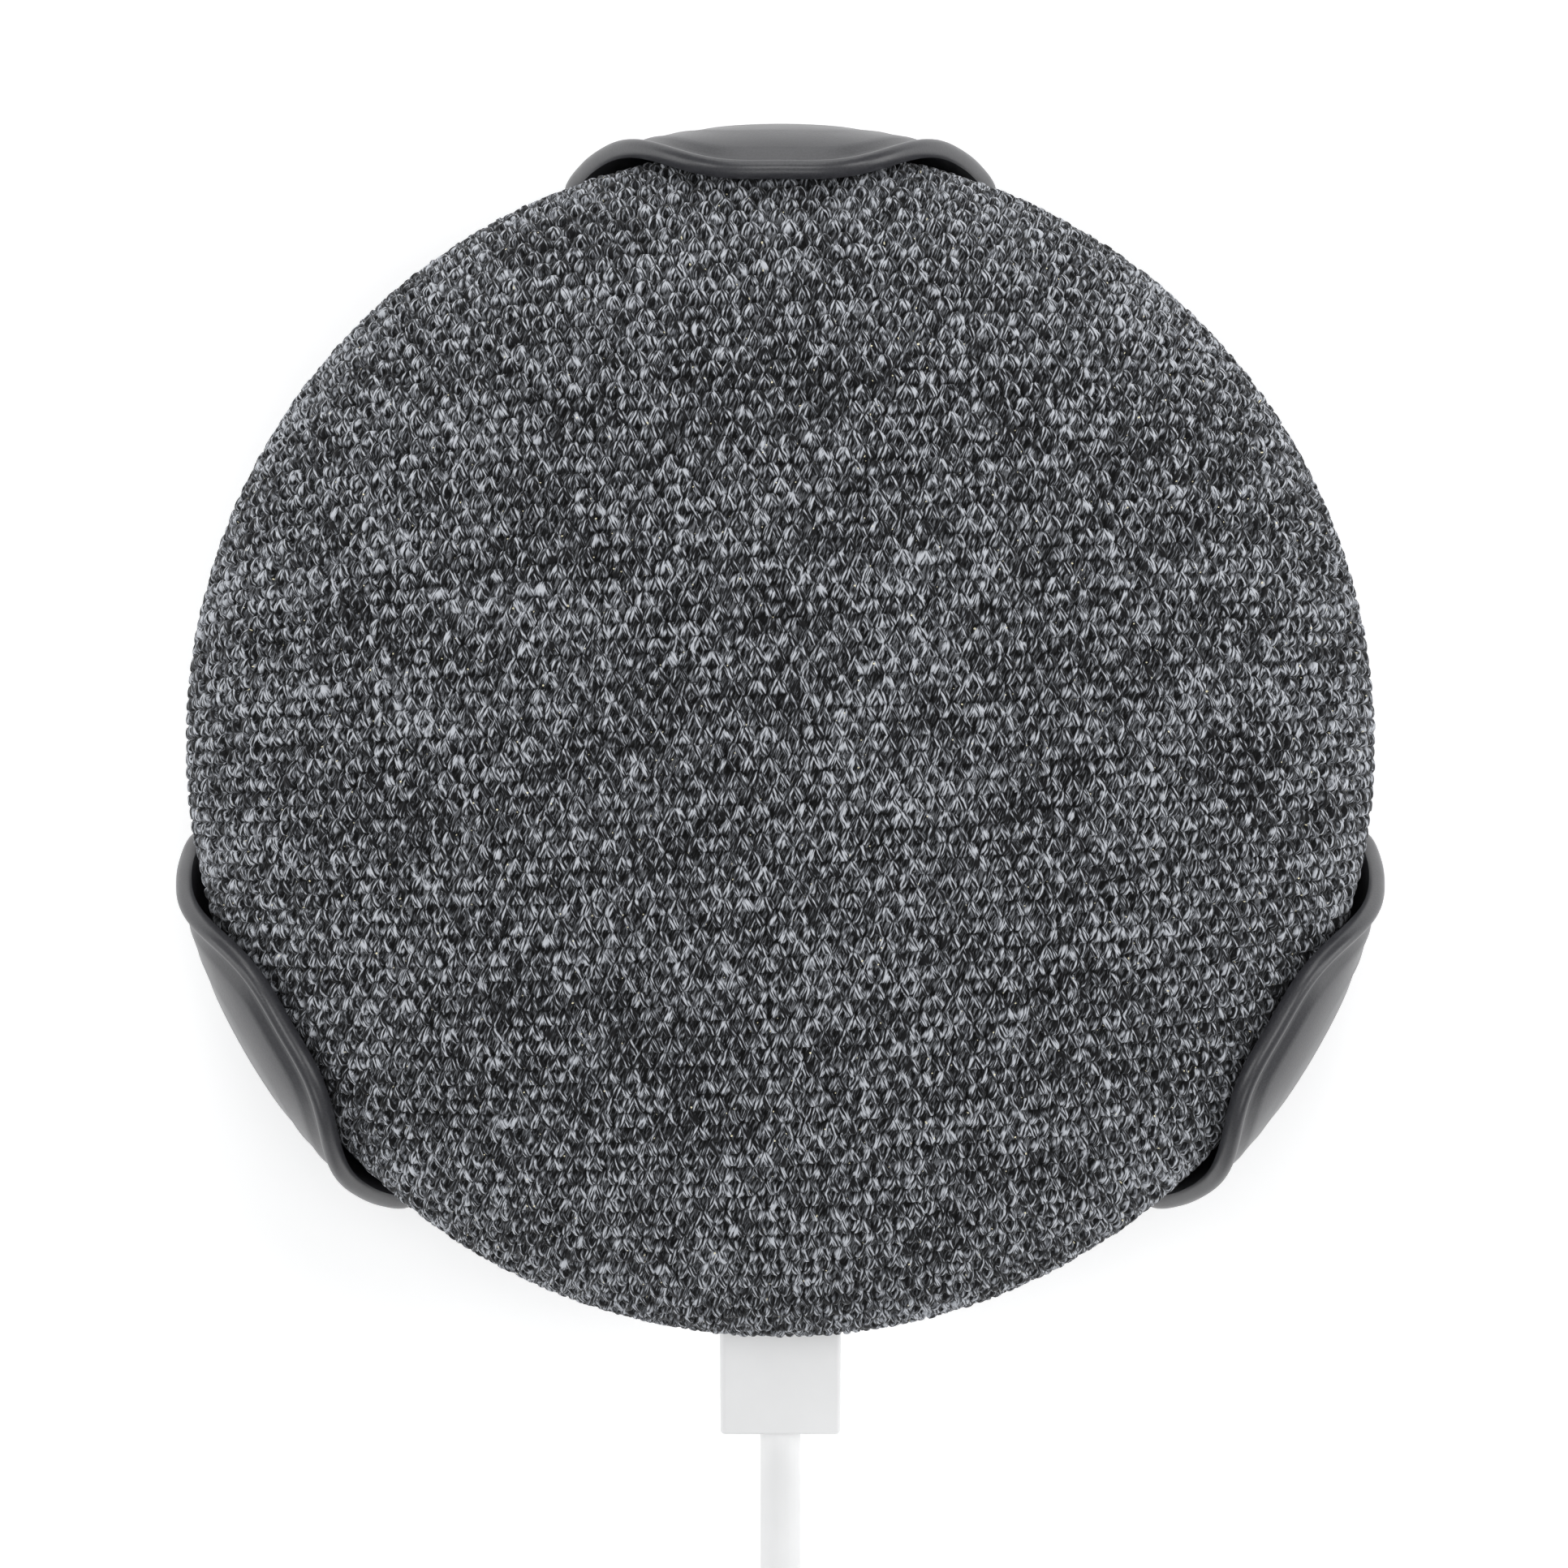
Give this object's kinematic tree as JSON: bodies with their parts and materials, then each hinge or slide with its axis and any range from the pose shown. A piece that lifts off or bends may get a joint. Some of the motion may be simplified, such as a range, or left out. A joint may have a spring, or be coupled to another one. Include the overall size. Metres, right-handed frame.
{
  "type": "smart home hub",
  "caption": "Round fabric-covered smart speaker hub held dome-out in a three-clawed wall mount, with its supply lead, coil and plug-in adapter.",
  "frame": {"origin": "centre of the wall mount's rear face, where its pad meets the wall", "axes": "+Z out of the wall, through the hub's front; the supply lead leaves the hub towards -Y"},
  "size_m": [0.101, 0.178, 0.0458],
  "materials": {
    "knit": "melange knit, charcoal and pale grey",
    "claw_plastic": "satin black moulding with a fine spark texture",
    "pad_foam": "grey acrylic foam tape",
    "housing_plastic": "dark grey satin moulding",
    "shell_plastic": "black matt moulding",
    "silicone": "matt silicone",
    "board": "green solder mask",
    "chip": "black moulded package",
    "steel": "plain",
    "aluminium": "die cast",
    "copper": "bare copper",
    "gold": "gold flash on a metal can",
    "paper": "pressed paper, dyed black",
    "foam_rubber": "matt butyl rubber",
    "light_guide": "frosted clear",
    "thermal_silicone": "filled silicone",
    "spider_cloth": "resin dipped weave",
    "polyimide": "amber film",
    "white_plastic": "satin white",
    "white_cord": "soft white jacket",
    "black_tie": "hook and loop strip",
    "red_wire": "insulated wire",
    "black_wire": "insulated wire"
  },
  "bodies": {
    "mount": {"wall_mount": "claw_plastic", "adhesive_pad": "pad_foam"},
    "hub": {"adapter_blade_left": "steel", "adapter_blade_right": "steel", "antenna_left": "copper", "antenna_right": "copper", "case_screw_1": "steel", "case_screw_2": "steel", "case_screw_3": "steel", "case_screw_4": "steel", "cone_surround": "foam_rubber", "cord_coil": "white_cord", "cord_tie": "black_tie", "driver_gasket": "foam_rubber", "driver_screw_1": "steel", "driver_screw_2": "steel", "driver_screw_3": "steel", "emi_shield": "steel", "fabric_cover": "knit", "flash_chip": "chip", "front_shell": "shell_plastic", "led_board": "board", "led_ribbon": "polyimide", "light_guide": "light_guide", "magnet": "steel", "main_board": "board", "memory_chip": "chip", "mic_gasket_left": "foam_rubber", "mic_gasket_right": "foam_rubber", "mic_left": "gold", "mic_right": "gold", "mic_switch_body": "steel", "pole_plate": "steel", "power_adapter": "white_plastic", "power_cord_lead": "white_cord", "power_cord_tail": "white_cord", "rear_housing": "housing_plastic", "silicone_foot": "silicone", "soc": "chip", "speaker_basket": "steel", "speaker_chamber": "aluminium", "speaker_connector": "white_plastic", "speaker_wire_black": "black_wire", "speaker_wire_red": "red_wire", "spider": "spider_cloth", "strain_relief": "white_plastic", "tact_switch": "steel", "thermal_pad": "thermal_silicone", "touch_pad_left": "copper", "touch_pad_right": "copper", "usb_plug": "white_plastic", "usb_plug_shell": "steel", "usb_socket": "steel", "wifi_module": "steel", "yoke": "steel"},
    "cone": {"speaker_cone": "paper", "dust_cap": "paper", "voice_coil": "copper"},
    "mic_switch": {"mic_switch_slider": "white_plastic"},
    "reset_key": {"reset_button": "housing_plastic"}
  },
  "joints": [
    {"name": "hub_twist", "type": "hinge", "parent": "mount", "child": "hub", "pos_m": [0, 0, 0], "axis": [0, 0, 1], "range_deg": [-30, 30]},
    {"name": "cone_travel", "type": "slide", "parent": "hub", "child": "cone", "axis": [0, 0, 1], "range_m": [-0.001, 0.001], "stiffness_N_per_m": 1500, "deforming": ["cone_surround", "spider"]},
    {"name": "mic_switch_slide", "type": "slide", "parent": "hub", "child": "mic_switch", "axis": [-0.9272, -0.3746, 0], "range_m": [0, 0.002]},
    {"name": "reset_press", "type": "slide", "parent": "hub", "child": "reset_key", "axis": [0, 0, 1], "range_m": [0, 0.0004], "stiffness_N_per_m": 400, "springref_m": -0.0004}
  ]
}
